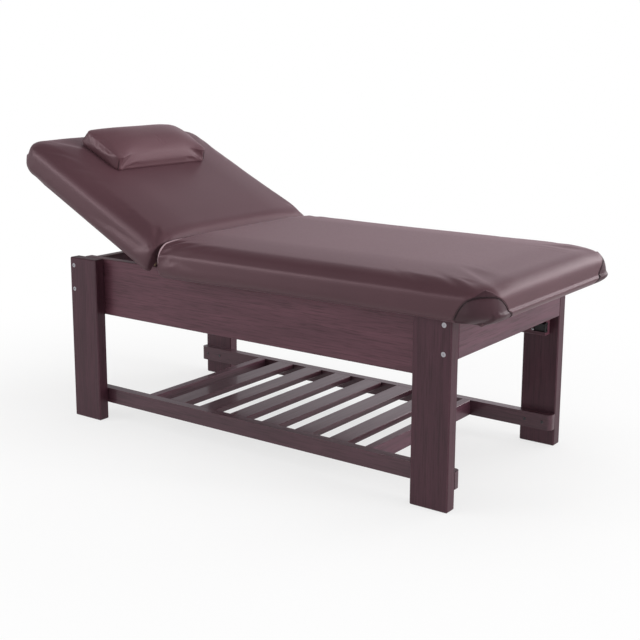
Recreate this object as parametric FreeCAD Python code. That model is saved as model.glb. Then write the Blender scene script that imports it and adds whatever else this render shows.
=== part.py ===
import FreeCAD, Part
import math
import os

# Lengths are in millimetres and angles in degrees.
# X runs from the head to the foot, Y across the bed and Z up from the floor.
# Left and right are those of a person lying on the back, so right is the side towards -Y.
# Everything is placed from the middle of the frame on the floor and moved to the origin when it is written.

# Frame
frame_length = 1460
frame_height = 550
side_overhang = 50

# Legs, each a plank set on edge
leg_width = 120
leg_thickness = 40
leg_arris = 3

# Rails that join the legs at the top
apron_height = 188
apron_thickness = 30
end_rail_height = 125
end_rail_thickness = 30
head_rail_drop = 13
head_rail_round = 6
rail_arris = 2

# Lower shelf
shelf_lift = 57
shelf_rail_height = 50
shelf_rail_thickness = 30
shelf_rail_end_round = 15
shelf_length = 890
shelf_end_thickness = 30
slat_count = 6
slat_width = 66
slat_thickness = 18
slat_arris = 1.5
tenon_length = 12
tenon_thickness = 8
tenon_shoulder = 9
tenon_clearance = 0.2

# Bolts that draw the legs to the end rails
bolt_radius = 3
bolt_head_radius = 7
bolt_head_length = 6
bolt_head_sink = 0.5
bolt_socket_radius = 2.6
bolt_socket_depth = 3.5
bolt_socket_sides = 6
bolt_from_head_end = 17
bolt_from_foot_end = 24
bolt_grip = 40
upper_bolt_below_top = 27
bolt_spacing = 80
bolt_clearance = 0.3

# Boards that carry the cushions
board_thickness = 15
board_set_back = 6
bar_width = 50
bar_height = 30
bar_count = 3
first_bar_from_break = 40
last_bar_from_foot = 121
bar_arris = 1.5

# Cushions
bed_width = 820
body_length = 1156
back_length = 680
foot_overhang = 137
cushion_height = 101
cushion_rim_drop = 20
back_extra_drop = 6
cushion_corner = 82
shoulder_depth = 60
side_rise = 45
side_round = 32
under_round = 36
crown_rise = 3
crown_reach = 120
crown_corner = 20
crown_shares = (0, 0.35, 0.7, 1)
rim_width = 48
break_gap = 2
break_round = 10

# Backrest movement
rest_angle = 27.3
highest_angle = 45
hinge_below_top = 7
seat_clearance = 0.5
welt_radius = 2.2
tape_thickness = 1.2
tape_height = 60
tape_from_side = 70
tape_welt_clearance = 0.6

# Wood under the backrest board
batten_thickness = 32
batten_height = 80
batten_from_break = 20
batten_length = 370
batten_end_cut = 45
batten_set_in = 100
brace_width = 40
brace_height = 40
brace_from_break = 24

# Slotted stays that hold the backrest up
stay_radius = 280
stay_pivot_below_hinge = 154
stay_stud_below_hinge = 232
stay_width = 24
stay_thickness = 5
stay_from_batten = 10
stay_past_slot = 6
slot_clearance = 0.1
slot_spare = 1
side_play = 0.2
running_clearance = 0.05

# Pins, studs and knobs of the stays
pivot_radius = 5
pivot_thread_radius = 4
pivot_head_radius = 8
pivot_head_length = 5
pivot_nut_radius = 7
pivot_nut_length = 7
pivot_collar_radius = 9
stud_radius = 4
stud_shoulder_radius = 8
stud_plate_size = 60
stud_plate_thickness = 4
stud_plate_round = 8
knob_radius = 19
knob_height = 15
knob_boss_radius = 10
knob_boss_height = 5
knob_lobes = 5
knob_notch_radius = 8
knob_bore_share = 0.67
stud_in_knob_share = 0.5

# Pillow
pillow_width = 436
pillow_length = 205
pillow_height = 76
pillow_from_break = 383
pillow_offset = -15
pillow_corner = 34
pillow_side_depth = 34
pillow_side_rise = 26
pillow_side_round = 14
pillow_under_round = 12
pillow_crown_rise = 12
pillow_crown_reach = 45
pillow_gap = 0.3

# Length by which a cutting tool passes the face that it cuts
overrun = 5

right = -1
left = 1
sides = {"right": right, "left": left}
ends = {"head": -1, "foot": 1}

# Places that several pieces share
end_x = frame_length / 2
side_y = bed_width / 2 - side_overhang
leg_inner_y = side_y - leg_thickness
apron_inner_y = leg_inner_y - apron_thickness
shelf_inner_y = leg_inner_y - shelf_rail_thickness
foot_x = end_x + foot_overhang
break_x = foot_x - body_length
cushion_top = frame_height + cushion_height
cushion_bottom = frame_height - cushion_rim_drop
hinge_z = cushion_top - hinge_below_top
back_cushion_bottom = cushion_bottom - back_extra_drop
board_half_width = bed_width / 2 - rim_width
back_board_bottom = frame_height + seat_clearance
batten_offset = board_half_width - batten_set_in - batten_thickness
stay_inner_face = batten_offset + batten_thickness + stay_from_batten

stay_pivot_x = break_x - math.sqrt(stay_radius ** 2 - stay_pivot_below_hinge ** 2)
stay_pivot_z = hinge_z - stay_pivot_below_hinge
stay_stud_x = break_x + math.sqrt(stay_radius ** 2 - stay_stud_below_hinge ** 2)
stay_stud_z = hinge_z - stay_stud_below_hinge

across = FreeCAD.Vector(0, 1, 0)
hinge_point = FreeCAD.Vector(break_x, 0, hinge_z)


def point(x, y, z):
    return FreeCAD.Vector(x, y, z)


def block(low, high):
    """A box between two corners given in any order."""
    near = point(min(low[0], high[0]), min(low[1], high[1]), min(low[2], high[2]))
    far = point(max(low[0], high[0]), max(low[1], high[1]), max(low[2], high[2]))
    size = far - near
    return Part.makeBox(size.x, size.y, size.z, near)


def eased_block(low, high, arris):
    """A planed board with a small chamfer on every edge."""
    board = block(low, high)
    return board.makeChamfer(arris, board.Edges)


def rod_across(x, z, start_y, end_y, radius):
    """A cylinder that runs across the bed."""
    low = min(start_y, end_y)
    return Part.makeCylinder(radius, abs(end_y - start_y), point(x, low, z), across)


def fused(shapes):
    return shapes[0].multiFuse(shapes[1:]).removeSplitter()


def raised(shape):
    """A copy of a backrest piece turned from lying flat to the photographed angle."""
    turned = shape.copy()
    turned.rotate(hinge_point, across, rest_angle)
    return turned


# Legs

def bolt_x(end):
    from_end = bolt_from_foot_end if end > 0 else bolt_from_head_end
    return end * (end_x - from_end)


def bolt_heights():
    upper = frame_height - upper_bolt_below_top
    return [upper, upper - bolt_spacing]


def leg(end, side):
    low = (end * end_x, side * side_y, 0)
    high = (end * (end_x - leg_width), side * leg_inner_y, frame_height)
    plank = eased_block(low, high, leg_arris)
    face = side * side_y
    for z in bolt_heights():
        hole = rod_across(bolt_x(end), z, face, side * leg_inner_y, bolt_radius + bolt_clearance)
        sink = face - side * (bolt_head_length + bolt_head_sink)
        seat = rod_across(bolt_x(end), z, face, sink, bolt_head_radius + bolt_clearance)
        plank = plank.cut(hole.fuse(seat))
    return plank


# Rails at the top of the frame

def side_apron(side):
    reach = end_x - end_rail_thickness
    low = (-reach, side * leg_inner_y, frame_height - apron_height)
    high = (reach, side * apron_inner_y, frame_height)
    return eased_block(low, high, rail_arris)


def end_rail(end, top):
    inner = end * (end_x - end_rail_thickness)
    low = (end * end_x, -leg_inner_y, frame_height - end_rail_height)
    high = (inner, leg_inner_y, top)
    rail = eased_block(low, high, rail_arris)
    for side in sides.values():
        face = side * leg_inner_y
        for z in bolt_heights():
            tip = face - side * bolt_grip
            rail = rail.cut(rod_across(bolt_x(end), z, face, tip, bolt_radius + running_clearance))
    return rail


def head_rail():
    rail = end_rail(ends["head"], frame_height - head_rail_drop)
    top = frame_height - head_rail_drop
    long_edges = [edge for edge in rail.Edges if edge.BoundBox.ZMin > top - rail_arris / 2
                  and edge.BoundBox.YLength > leg_inner_y]
    return rail.makeFillet(head_rail_round - rail_arris, long_edges)


def leg_bolt(end, side, z):
    """A cap bolt with its six-sided socket, set just under the leg's face."""
    face = side * (side_y - bolt_head_sink)
    under_head = face - side * bolt_head_length
    tip = side * (leg_inner_y - bolt_grip + overrun)
    head = rod_across(bolt_x(end), z, face, under_head, bolt_head_radius)
    shank = rod_across(bolt_x(end), z, under_head, tip, bolt_radius)
    corners = []
    for number in range(bolt_socket_sides + 1):
        angle = 2 * math.pi * number / bolt_socket_sides
        x = bolt_x(end) + bolt_socket_radius * math.cos(angle)
        corners.append(point(x, face, z + bolt_socket_radius * math.sin(angle)))
    socket = Part.Face(Part.makePolygon(corners)).extrude(point(0, -side * bolt_socket_depth, 0))
    return head.fuse(shank).cut(socket)


def at_all_bolts(piece):
    return [piece(end, side, z) for end in ends.values() for side in sides.values() for z in bolt_heights()]


# Lower shelf

def slat_gap():
    free = shelf_length - 2 * shelf_end_thickness - slat_count * slat_width
    return free / (slat_count + 1)


def slat_middles():
    pitch = slat_width + slat_gap()
    first = -pitch * (slat_count - 1) / 2
    return [first + pitch * number for number in range(slat_count)]


def shelf_end_middle():
    return (shelf_length - shelf_end_thickness) / 2


def shelf_top():
    return shelf_lift + shelf_rail_height


def tenon(x, side, width, top, thickness, clearance):
    """The tongue at one end of a shelf board, or with a clearance its mortise."""
    half = width / 2 - tenon_shoulder + clearance
    middle = top - thickness / 2
    rise = tenon_thickness / 2 + clearance
    tip = side * (shelf_inner_y + tenon_length + clearance)
    return block((x - half, side * shelf_inner_y, middle - rise), (x + half, tip, middle + rise))


def shelf_rail(side):
    low = (-end_x, side * leg_inner_y, shelf_lift)
    high = (end_x, side * shelf_inner_y, shelf_top())
    rail = block(low, high)
    corners = [edge for edge in rail.Edges if edge.BoundBox.ZLength > shelf_rail_height / 2
               and abs(abs(edge.BoundBox.YMin) - shelf_inner_y) < running_clearance]
    rail = rail.makeFillet(shelf_rail_end_round, corners)
    for x in slat_middles():
        rail = rail.cut(tenon(x, side, slat_width, shelf_top(), slat_thickness, tenon_clearance))
    for end in ends.values():
        x = end * shelf_end_middle()
        rail = rail.cut(end_board_tenon(x, side, tenon_clearance))
    return rail


def end_board_tenon(x, side, clearance):
    """An upright tongue in the middle of an end board's thickness."""
    half = tenon_thickness / 2 + clearance
    low = shelf_lift + tenon_shoulder - clearance
    high = shelf_top() - tenon_shoulder + clearance
    tip = side * (shelf_inner_y + tenon_length + clearance)
    return block((x - half, side * shelf_inner_y, low), (x + half, tip, high))


def shelf_end_board(end):
    half = shelf_end_thickness / 2
    x = end * shelf_end_middle()
    low = (x - half, -shelf_inner_y, shelf_lift)
    high = (x + half, shelf_inner_y, shelf_top())
    board = eased_block(low, high, slat_arris)
    return fused([board] + [end_board_tenon(x, side, 0) for side in sides.values()])


def shelf_slat(x):
    half = slat_width / 2
    low = (x - half, -shelf_inner_y, shelf_top() - slat_thickness)
    high = (x + half, shelf_inner_y, shelf_top())
    board = eased_block(low, high, slat_arris)
    tongues = [tenon(x, side, slat_width, shelf_top(), slat_thickness, 0) for side in sides.values()]
    return fused([board] + tongues)


# Bars across the frame under the fixed board

def bar_starts():
    first = break_x + first_bar_from_break
    last = end_x - last_bar_from_foot - bar_width
    step = (last - first) / (bar_count - 1)
    return [first + step * number for number in range(bar_count)]


def frame_bar(x):
    low = (x, -apron_inner_y, frame_height - bar_height)
    high = (x + bar_width, apron_inner_y, frame_height)
    return eased_block(low, high, bar_arris)


# Outlines seen from above, straight across at the break and round at the far corners

def plan_outline(start, reach, way, half_width, radius, z):
    """Start and reach are counted from the break, way is 1 to the foot and -1 to the head."""
    near = break_x + way * start
    far = break_x + way * reach
    bend = break_x + way * (reach - radius)
    bow = radius * math.sqrt(0.5)
    corners = []
    for side in (right, left):
        inner = side * (half_width - radius)
        middle = point(bend + way * bow, inner + side * bow, z)
        corners.append((point(bend, side * half_width, z), middle, point(far, inner, z)))
    near_right = point(near, -half_width, z)
    near_left = point(near, half_width, z)
    first, second = corners
    edges = [
        Part.makeLine(near_right, first[0]),
        Part.Arc(first[0], first[1], first[2]).toShape(),
        Part.makeLine(first[2], second[2]),
        Part.Arc(second[2], second[1], second[0]).toShape(),
        Part.makeLine(second[0], near_left),
        Part.makeLine(near_left, near_right),
    ]
    return Part.Wire(edges)


def plan_plate(start, reach, way, half_width, radius, low, high):
    outline = plan_outline(start, reach, way, half_width, radius, low)
    return Part.Face(outline).extrude(point(0, 0, high - low))


# Soft forms: a roll all round, with a low crown on top

def roll_edges(x, y, way_x, way_y, form):
    """The pad's side seen in section: a round underside, a wall, then a tight and a wide arc to the shoulder."""
    reach = form["corner"]
    depth = form["shoulder"]
    tight = form["side_round"]
    rise = form["side_rise"]
    under = form["under_round"]
    under_z = form["low"] + under
    wall_z = form["shoulder_z"] - rise
    wide = (depth ** 2 + rise ** 2 - 2 * depth * tight) / (2 * (rise - tight))

    def at(distance, z):
        return point(x + way_x * distance, y + way_y * distance, z)

    def on_arc(centre, height, radius, angle):
        return at(centre + radius * math.cos(angle), height + radius * math.sin(angle))

    wide_z = form["shoulder_z"] - wide
    join = math.atan2(wall_z - wide_z, depth - tight)
    quarter = math.pi / 2
    start = at(reach - under, form["low"])
    joint = on_arc(reach - tight, wall_z, tight, join)
    shoulder = at(reach - depth, form["shoulder_z"])
    edges = [
        Part.Arc(start, on_arc(reach - under, under_z, under, -quarter / 2), at(reach, under_z)).toShape(),
        Part.makeLine(at(reach, under_z), at(reach, wall_z)),
        Part.Arc(at(reach, wall_z), on_arc(reach - tight, wall_z, tight, join / 2), joint).toShape(),
        Part.Arc(joint, on_arc(reach - depth, wide_z, wide, (join + quarter) / 2), shoulder).toShape(),
    ]
    return start, shoulder, edges


def roll_corner(x, y, way_x, way_y, form):
    """A quarter of a round pad, about an upright line at x and y."""
    under, shoulder, edges = roll_edges(x, y, way_x, 0, form)
    low_middle = point(x, y, form["low"])
    high_middle = point(x, y, form["shoulder_z"])
    edges += [Part.makeLine(shoulder, high_middle), Part.makeLine(high_middle, low_middle),
              Part.makeLine(low_middle, under)]
    face = Part.Face(Part.Wire(edges))
    return face.revolve(low_middle, point(0, 0, 1), 90 * way_x * way_y)


def roll_across(x, y_low, y_high, finish, form):
    """A length of pad with a roll along both sides."""
    start, right_shoulder, right_edges = roll_edges(x, y_low, 0, right, form)
    end_under, left_shoulder, left_edges = roll_edges(x, y_high, 0, left, form)
    edges = right_edges + left_edges
    edges += [Part.makeLine(right_shoulder, left_shoulder), Part.makeLine(end_under, start)]
    face = Part.Face(Part.Wire(Part.__sortEdges__(edges)))
    return face.extrude(point(finish - x, 0, 0))


def roll_end(x, y_low, y_high, way, form):
    """The roll across one end, between its corners."""
    under, shoulder, edges = roll_edges(x, y_low, way, 0, form)
    low_middle = point(x, y_low, form["low"])
    high_middle = point(x, y_low, form["shoulder_z"])
    edges += [Part.makeLine(shoulder, high_middle), Part.makeLine(high_middle, low_middle),
              Part.makeLine(low_middle, under)]
    face = Part.Face(Part.Wire(edges))
    return face.extrude(point(0, y_high - y_low, 0))


def crown_outline(low_x, high_x, low_y, high_y, inset, radius, z):
    """A rectangle with round corners, drawn with lines and quarter arcs."""
    bow = radius * (1 - math.sqrt(0.5))
    edges = []
    ends_of_arcs = []
    for way_x, way_y in ((1, 1), (-1, 1), (-1, -1), (1, -1)):
        x = high_x - inset if way_x > 0 else low_x + inset
        y = high_y - inset if way_y > 0 else low_y + inset
        on_end = point(x, y - way_y * radius, z)
        on_side = point(x - way_x * radius, y, z)
        middle = point(x - way_x * bow, y - way_y * bow, z)
        start, finish = (on_end, on_side) if way_x == way_y else (on_side, on_end)
        edges.append(Part.Arc(start, middle, finish).toShape())
        ends_of_arcs.append((start, finish))
    for number, pair in enumerate(ends_of_arcs):
        edges.append(Part.makeLine(pair[1], ends_of_arcs[(number + 1) % len(ends_of_arcs)][0]))
    return Part.Wire(Part.__sortEdges__(edges))


def crown(low_x, high_x, low_y, high_y, form):
    """The low rise on top of a pad, in even steps of a flattening slope."""
    sections = []
    for share in crown_shares:
        inset = share * form["crown_reach"]
        z = form["shoulder_z"] + form["crown_rise"] * (1 - (1 - share) ** 2)
        sections.append(crown_outline(low_x, high_x, low_y, high_y, inset, form["crown_corner"], z))
    return Part.makeLoft(sections, True, True)


# Cushions

def cushion_roll(low):
    return {"low": low, "shoulder_z": cushion_top - crown_rise, "corner": cushion_corner,
            "side_round": side_round, "side_rise": side_rise, "under_round": under_round,
            "shoulder": shoulder_depth, "crown_rise": crown_rise,
            "crown_reach": crown_reach, "crown_corner": crown_corner}


def cushion_form(length, way, low):
    """The whole cushion with soft sides and crown, before its pocket and break end are cut."""
    form = cushion_roll(low)
    bend_x = break_x + way * (length - cushion_corner)
    reach_y = bed_width / 2 - cushion_corner
    parts = [roll_across(break_x, -reach_y, reach_y, bend_x, form), roll_end(bend_x, -reach_y, reach_y, way, form)]
    for side in (right, left):
        parts.append(roll_corner(bend_x, side * reach_y, way, side, form))
    far = bend_x + way * (cushion_corner - shoulder_depth)
    behind = break_x - way * crown_reach
    half = bed_width / 2 - shoulder_depth
    parts.append(crown(min(far, behind), max(far, behind), -half, half, form))
    return fused(parts)


def break_cut(way, cushion_low):
    """What lies past the cushion's end face, with the round of its top edge."""
    low = cushion_low - overrun
    high = cushion_top + overrun
    face = break_x + way * break_gap
    behind = break_x - way * (crown_reach + overrun)
    turn_z = cushion_top - break_round
    bow = break_round * (1 - math.sqrt(0.5))
    top_x = face + way * break_round
    y = -bed_width
    profile = Part.Wire([
        Part.makeLine(point(behind, y, low), point(face, y, low)),
        Part.makeLine(point(face, y, low), point(face, y, turn_z)),
        Part.Arc(point(face, y, turn_z), point(face + way * bow, y, cushion_top - bow),
                 point(top_x, y, cushion_top)).toShape(),
        Part.makeLine(point(top_x, y, cushion_top), point(top_x, y, high)),
        Part.makeLine(point(top_x, y, high), point(behind, y, high)),
        Part.makeLine(point(behind, y, high), point(behind, y, low)),
    ])
    return Part.Face(profile).extrude(point(0, 2 * bed_width, 0))


def cushion(length, way, low, board_top):
    """A cushion over its board, with a rim that hangs down outside the frame."""
    corner = cushion_corner - rim_width
    pocket = plan_plate(-overrun, length - rim_width, way, board_half_width, corner, low - overrun, board_top)
    form = cushion_form(length, way, low)
    return form.cut(pocket).cut(break_cut(way, low))


def board(length, way, bottom):
    corner = cushion_corner - rim_width
    top = bottom + board_thickness
    return plan_plate(board_set_back, length - rim_width, way, board_half_width, corner, bottom, top)


def tape(way, top):
    """The flat leg of the sewn hinge, glued to one cushion's end face."""
    face = break_x + way * break_gap
    half = bed_width / 2 - tape_from_side
    inner = face - way * tape_thickness
    return block((face, -half, top - tape_height), (inner, half, top))


def fixed_tape():
    half = bed_width / 2 - tape_from_side
    welt = rod_across(break_x, hinge_z, -half, half, welt_radius)
    return fused([welt, tape(ends["foot"], hinge_z)])


def moving_tape():
    return tape(ends["head"], hinge_z - welt_radius - tape_welt_clearance)


# Wood under the backrest board, placed as it lies flat

def batten(side):
    start = break_x - batten_from_break
    finish = start - batten_length
    top = back_board_bottom
    bottom = top - batten_height
    y = side * batten_offset
    outline = Part.makePolygon([
        point(start, y, top),
        point(finish, y, top),
        point(finish, y, top - batten_height + batten_end_cut),
        point(finish + batten_end_cut, y, bottom),
        point(start - batten_end_cut / 2, y, bottom),
        point(start, y, bottom + batten_end_cut / 2),
        point(start, y, top),
    ])
    wood = Part.Face(outline).extrude(point(0, side * batten_thickness, 0))
    outer = side * (batten_offset + batten_thickness)
    hole = rod_across(stay_pivot_x, stay_pivot_z, y, outer, pivot_thread_radius + side_play)
    return wood.cut(hole)


def brace(from_break):
    low = (break_x - from_break, -batten_offset, back_board_bottom - brace_height)
    high = (break_x - from_break - brace_width, batten_offset, back_board_bottom)
    return eased_block(low, high, bar_arris)


def far_brace_from_break():
    return batten_from_break + batten_length - batten_end_cut - brace_width


# Stays

def pivot_at_rest():
    offset = point(stay_pivot_x, 0, stay_pivot_z) - hinge_point
    turn = FreeCAD.Rotation(across, rest_angle)
    return hinge_point + turn.multVec(offset)


def stay_reach(angle):
    """Distance from the stay's pivot to its stud with the backrest at an angle."""
    pivot_angle = math.atan2(stay_pivot_below_hinge, break_x - stay_pivot_x)
    stud_angle = math.atan2(stay_stud_below_hinge, stay_stud_x - break_x)
    opening = math.radians(180 + angle) - pivot_angle - stud_angle
    return 2 * stay_radius * math.sin(opening / 2)


def rounded_bar(start, reach, width, low, high):
    """A flat bar along X with round ends, its ends' centres at start and reach."""
    bar = block((start, low, -width / 2), (reach, high, width / 2))
    ends_of_bar = [rod_across(x, 0, low, high, width / 2) for x in (start, reach)]
    return fused([bar] + ends_of_bar)


def stay(side):
    """A flat steel bar with a hole for its pivot and a slot that slides on the stud."""
    low = side * stay_inner_face
    high = side * (stay_inner_face + stay_thickness)
    first = stay_reach(0) - slot_spare
    last = stay_reach(highest_angle) + slot_spare
    bar = rounded_bar(0, last + stay_past_slot, stay_width, low, high)
    slot_width = 2 * (stud_radius + slot_clearance)
    slot = rounded_bar(first, last, slot_width, low, high)
    hole = rod_across(0, 0, low, high, pivot_radius + running_clearance)
    bar = bar.cut(slot).cut(hole)
    pivot = pivot_at_rest()
    fall = math.degrees(math.atan2(pivot.z - stay_stud_z, stay_stud_x - pivot.x))
    bar.rotate(point(0, 0, 0), across, fall)
    bar.translate(pivot)
    return bar


def outer_stay_face():
    return stay_inner_face + stay_thickness + side_play


def pivot_bolt(side):
    """A turned stud through the batten, with a collar that spaces the stay and a head that keeps it on."""
    inner = batten_offset
    outer = batten_offset + batten_thickness
    shoulder_end = outer_stay_face()
    steps = [
        (inner - pivot_nut_length, inner, pivot_nut_radius),
        (inner, outer, pivot_thread_radius),
        (outer, stay_inner_face - side_play, pivot_collar_radius),
        (stay_inner_face - side_play, shoulder_end, pivot_radius),
        (shoulder_end, shoulder_end + pivot_head_length, pivot_head_radius),
    ]
    rods = [rod_across(stay_pivot_x, stay_pivot_z, side * low, side * high, radius) for low, high, radius in steps]
    return fused(rods)


def stud_plate(side):
    """The plate on the apron's inner face, with the stud that the stay slides on."""
    face = apron_inner_y
    half = stud_plate_size / 2
    inner = face - stud_plate_thickness
    plate = block((stay_stud_x - half, side * face, stay_stud_z - half),
                  (stay_stud_x + half, side * inner, stay_stud_z + half))
    corners = [edge for edge in plate.Edges if edge.BoundBox.YLength > stud_plate_thickness / 2]
    plate = plate.makeFillet(stud_plate_round, corners)
    shoulder = rod_across(stay_stud_x, stay_stud_z, side * inner, side * outer_stay_face(), stud_shoulder_radius)
    stud_end = stay_inner_face - side_play - knob_boss_height - knob_height * stud_in_knob_share
    stud = rod_across(stay_stud_x, stay_stud_z, side * inner, side * stud_end, stud_radius)
    return fused([plate, shoulder, stud])


def knob(side):
    """A lobed hand knob that clamps the stay on its stud."""
    outer = stay_inner_face - side_play
    boss_end = outer - knob_boss_height
    inner = boss_end - knob_height
    head = rod_across(stay_stud_x, stay_stud_z, side * inner, side * boss_end, knob_radius)
    notch_reach = knob_radius + knob_notch_radius / 2
    for number in range(knob_lobes):
        angle = 2 * math.pi * number / knob_lobes
        x = stay_stud_x + notch_reach * math.cos(angle)
        z = stay_stud_z + notch_reach * math.sin(angle)
        head = head.cut(rod_across(x, z, side * inner, side * boss_end, knob_notch_radius))
    boss = rod_across(stay_stud_x, stay_stud_z, side * boss_end, side * outer, knob_boss_radius)
    bore_end = boss_end - knob_height * knob_bore_share
    bore_radius = stud_radius + running_clearance
    bore = rod_across(stay_stud_x, stay_stud_z, side * outer, side * bore_end, bore_radius)
    return fused([head, boss]).cut(bore)


# Pillow, placed as the backrest lies flat

def pillow():
    """Two rolls that cross each other, with the corners rounded in plan and a crown on top."""
    low = cushion_top + pillow_gap
    form = {"low": low, "shoulder_z": low + pillow_height - pillow_crown_rise, "side_round": pillow_side_round,
            "side_rise": pillow_side_rise, "under_round": pillow_under_round, "shoulder": pillow_side_depth,
            "crown_rise": pillow_crown_rise, "crown_reach": pillow_crown_reach, "crown_corner": pillow_corner / 2}
    high_x = break_x - pillow_from_break
    low_x = high_x - pillow_length
    low_y = pillow_offset - pillow_width / 2
    high_y = low_y + pillow_width
    middle_x = (low_x + high_x) / 2
    across_form = dict(form, corner=pillow_width / 2)
    along_form = dict(form, corner=pillow_length / 2)
    across_roll = roll_across(low_x, pillow_offset, pillow_offset, high_x, across_form)
    along_roll = fused([roll_end(middle_x, low_y, high_y, way, along_form) for way in ends.values()])
    outline = crown_outline(low_x, high_x, low_y, high_y, 0, pillow_corner, low)
    plan = Part.Face(outline).extrude(point(0, 0, pillow_height))
    pad = across_roll.common(along_roll).common(plan)
    top = pillow_side_depth
    return fused([pad, crown(low_x + top, high_x - top, low_y + top, high_y - top, form)])


def on_both_sides(piece):
    return Part.makeCompound([piece(side) for side in sides.values()])


# All pieces, each under its own name

pieces = {}

for end_name, end in ends.items():
    for side_name, side in sides.items():
        pieces["leg_" + end_name + "_" + side_name] = leg(end, side)
pieces["end_rail_head"] = head_rail()
pieces["end_rail_foot"] = end_rail(ends["foot"], frame_height)
pieces["leg_bolts"] = Part.makeCompound(at_all_bolts(leg_bolt))

for side_name, side in sides.items():
    pieces["side_apron_" + side_name] = side_apron(side)
    pieces["shelf_rail_" + side_name] = shelf_rail(side)
for end_name, end in ends.items():
    pieces["shelf_end_board_" + end_name] = shelf_end_board(end)
for number, x in enumerate(slat_middles()):
    pieces["shelf_slat_" + str(number + 1)] = shelf_slat(x)
for number, x in enumerate(bar_starts()):
    pieces["frame_bar_" + str(number + 1)] = frame_bar(x)

pieces["body_board"] = board(body_length, ends["foot"], frame_height)
body_board_top = frame_height + board_thickness
pieces["body_cushion"] = cushion(body_length, ends["foot"], cushion_bottom, body_board_top)
pieces["hinge_tape_fixed"] = fixed_tape()

pieces["backrest_board"] = raised(board(back_length, ends["head"], back_board_bottom))
back_board_top = back_board_bottom + board_thickness
back_form = cushion(back_length, ends["head"], back_cushion_bottom, back_board_top)
pieces["backrest_cushion"] = raised(back_form)
pieces["hinge_tape_moving"] = raised(moving_tape())
pieces["backrest_brace_hinge"] = raised(brace(brace_from_break))
pieces["backrest_brace_head"] = raised(brace(far_brace_from_break()))
pieces["pillow"] = raised(pillow())

for side_name, side in sides.items():
    pieces["backrest_batten_" + side_name] = raised(batten(side))
    pieces["stay_" + side_name] = stay(side)
    pieces["stay_knob_" + side_name] = knob(side)

pieces["stay_pivots"] = raised(on_both_sides(pivot_bolt))
pieces["stay_studs"] = on_both_sides(stud_plate)

# The origin is on the floor under the middle of the whole bed
head_edge = pieces["backrest_cushion"].optimalBoundingBox(False).XMin
foot_edge = pieces["body_cushion"].optimalBoundingBox(False).XMax
to_origin = point(-(head_edge + foot_edge) / 2, 0, 0)

os.makedirs("parts", exist_ok=True)
for name, shape in pieces.items():
    shape.translate(to_origin)
    shape.exportStep("parts/" + name + ".step")
    print(name, len(shape.Solids), round(shape.Volume), shape.isValid())

print("frame centre", to_origin.x)
print("hinge", hinge_point + to_origin)
print("stay pivot", pivot_at_rest() + to_origin)
print("stay stud", stay_stud_x + to_origin.x, stay_stud_z)
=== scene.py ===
import bpy
import bmesh
import math
import numpy as np
from mathutils import Matrix, Vector
from mathutils.bvhtree import BVHTree


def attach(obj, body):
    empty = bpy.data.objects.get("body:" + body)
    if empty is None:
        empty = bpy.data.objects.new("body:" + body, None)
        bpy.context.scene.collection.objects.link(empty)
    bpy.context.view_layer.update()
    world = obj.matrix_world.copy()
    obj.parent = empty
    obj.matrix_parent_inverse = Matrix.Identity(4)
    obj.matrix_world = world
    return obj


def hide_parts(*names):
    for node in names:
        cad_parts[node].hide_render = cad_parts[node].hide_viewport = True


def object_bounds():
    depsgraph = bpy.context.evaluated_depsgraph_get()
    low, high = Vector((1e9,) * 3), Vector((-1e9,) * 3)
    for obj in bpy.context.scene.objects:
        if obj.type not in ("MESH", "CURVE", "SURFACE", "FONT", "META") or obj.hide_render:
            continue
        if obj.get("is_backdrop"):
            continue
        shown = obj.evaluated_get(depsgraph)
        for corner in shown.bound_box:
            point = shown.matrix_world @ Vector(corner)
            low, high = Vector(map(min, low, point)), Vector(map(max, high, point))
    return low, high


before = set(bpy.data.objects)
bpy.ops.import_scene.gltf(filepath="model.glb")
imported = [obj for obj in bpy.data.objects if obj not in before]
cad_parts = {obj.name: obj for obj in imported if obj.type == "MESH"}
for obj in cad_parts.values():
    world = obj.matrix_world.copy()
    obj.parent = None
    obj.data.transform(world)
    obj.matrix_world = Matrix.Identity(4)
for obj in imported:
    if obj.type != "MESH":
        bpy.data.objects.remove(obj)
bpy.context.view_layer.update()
scene = bpy.context.scene
print("frame loaded")

# Places that several pieces share, in metres, as in the part's source
middleX = 0.0343980
breakX = -0.2546020
hingeZ = 0.644
restTurn = math.radians(27.3)
footX = middleX + 0.867
cushionTop = 0.651
pocketHalfWidth = 0.362  # of the hollow under both cushions that takes their boards
innerFaceY = 0.290  # inner faces of the aprons and of the shelf rails
hinge = Vector((breakX, 0, hingeZ))
restRotation = Matrix.Rotation(restTurn, 4, "Y")
turnUp = Matrix.Translation(hinge) @ restRotation @ Matrix.Translation(-hinge)
turnFlat = turnUp.inverted()


# Node helpers

def addNode(tree, kind, place, **values):
    node = tree.nodes.new(kind)
    node.location = place
    for name, value in values.items():
        if hasattr(node, name):
            setattr(node, name, value)
        else:
            node.inputs[name].default_value = value
    return node


def link(tree, *wires):
    # each wire names a node and its output, then the node and the input that it goes to
    for source, output, target, entry in wires:
        tree.links.new(source.outputs[output], target.inputs[entry])


def setInputs(node, values):
    for entry, value in values.items():
        node.inputs[entry].default_value = value


def newGroup(name, entries, results):
    group = bpy.data.node_groups.new(name, "ShaderNodeTree")
    for label, kind, value in entries:
        socket = group.interface.new_socket(label, in_out="INPUT", socket_type=kind)
        if value is not None:
            socket.default_value = value
    for label, kind in results:
        group.interface.new_socket(label, in_out="OUTPUT", socket_type=kind)
    inside = group.nodes.new("NodeGroupInput")
    inside.location = (-900, 0)
    outside = group.nodes.new("NodeGroupOutput")
    outside.location = (900, 0)
    return group, inside, outside


def newMaterial(name):
    material = bpy.data.materials.new(name)
    material.use_nodes = True
    tree = material.node_tree
    return material, tree, tree.nodes["Principled BSDF"]


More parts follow.
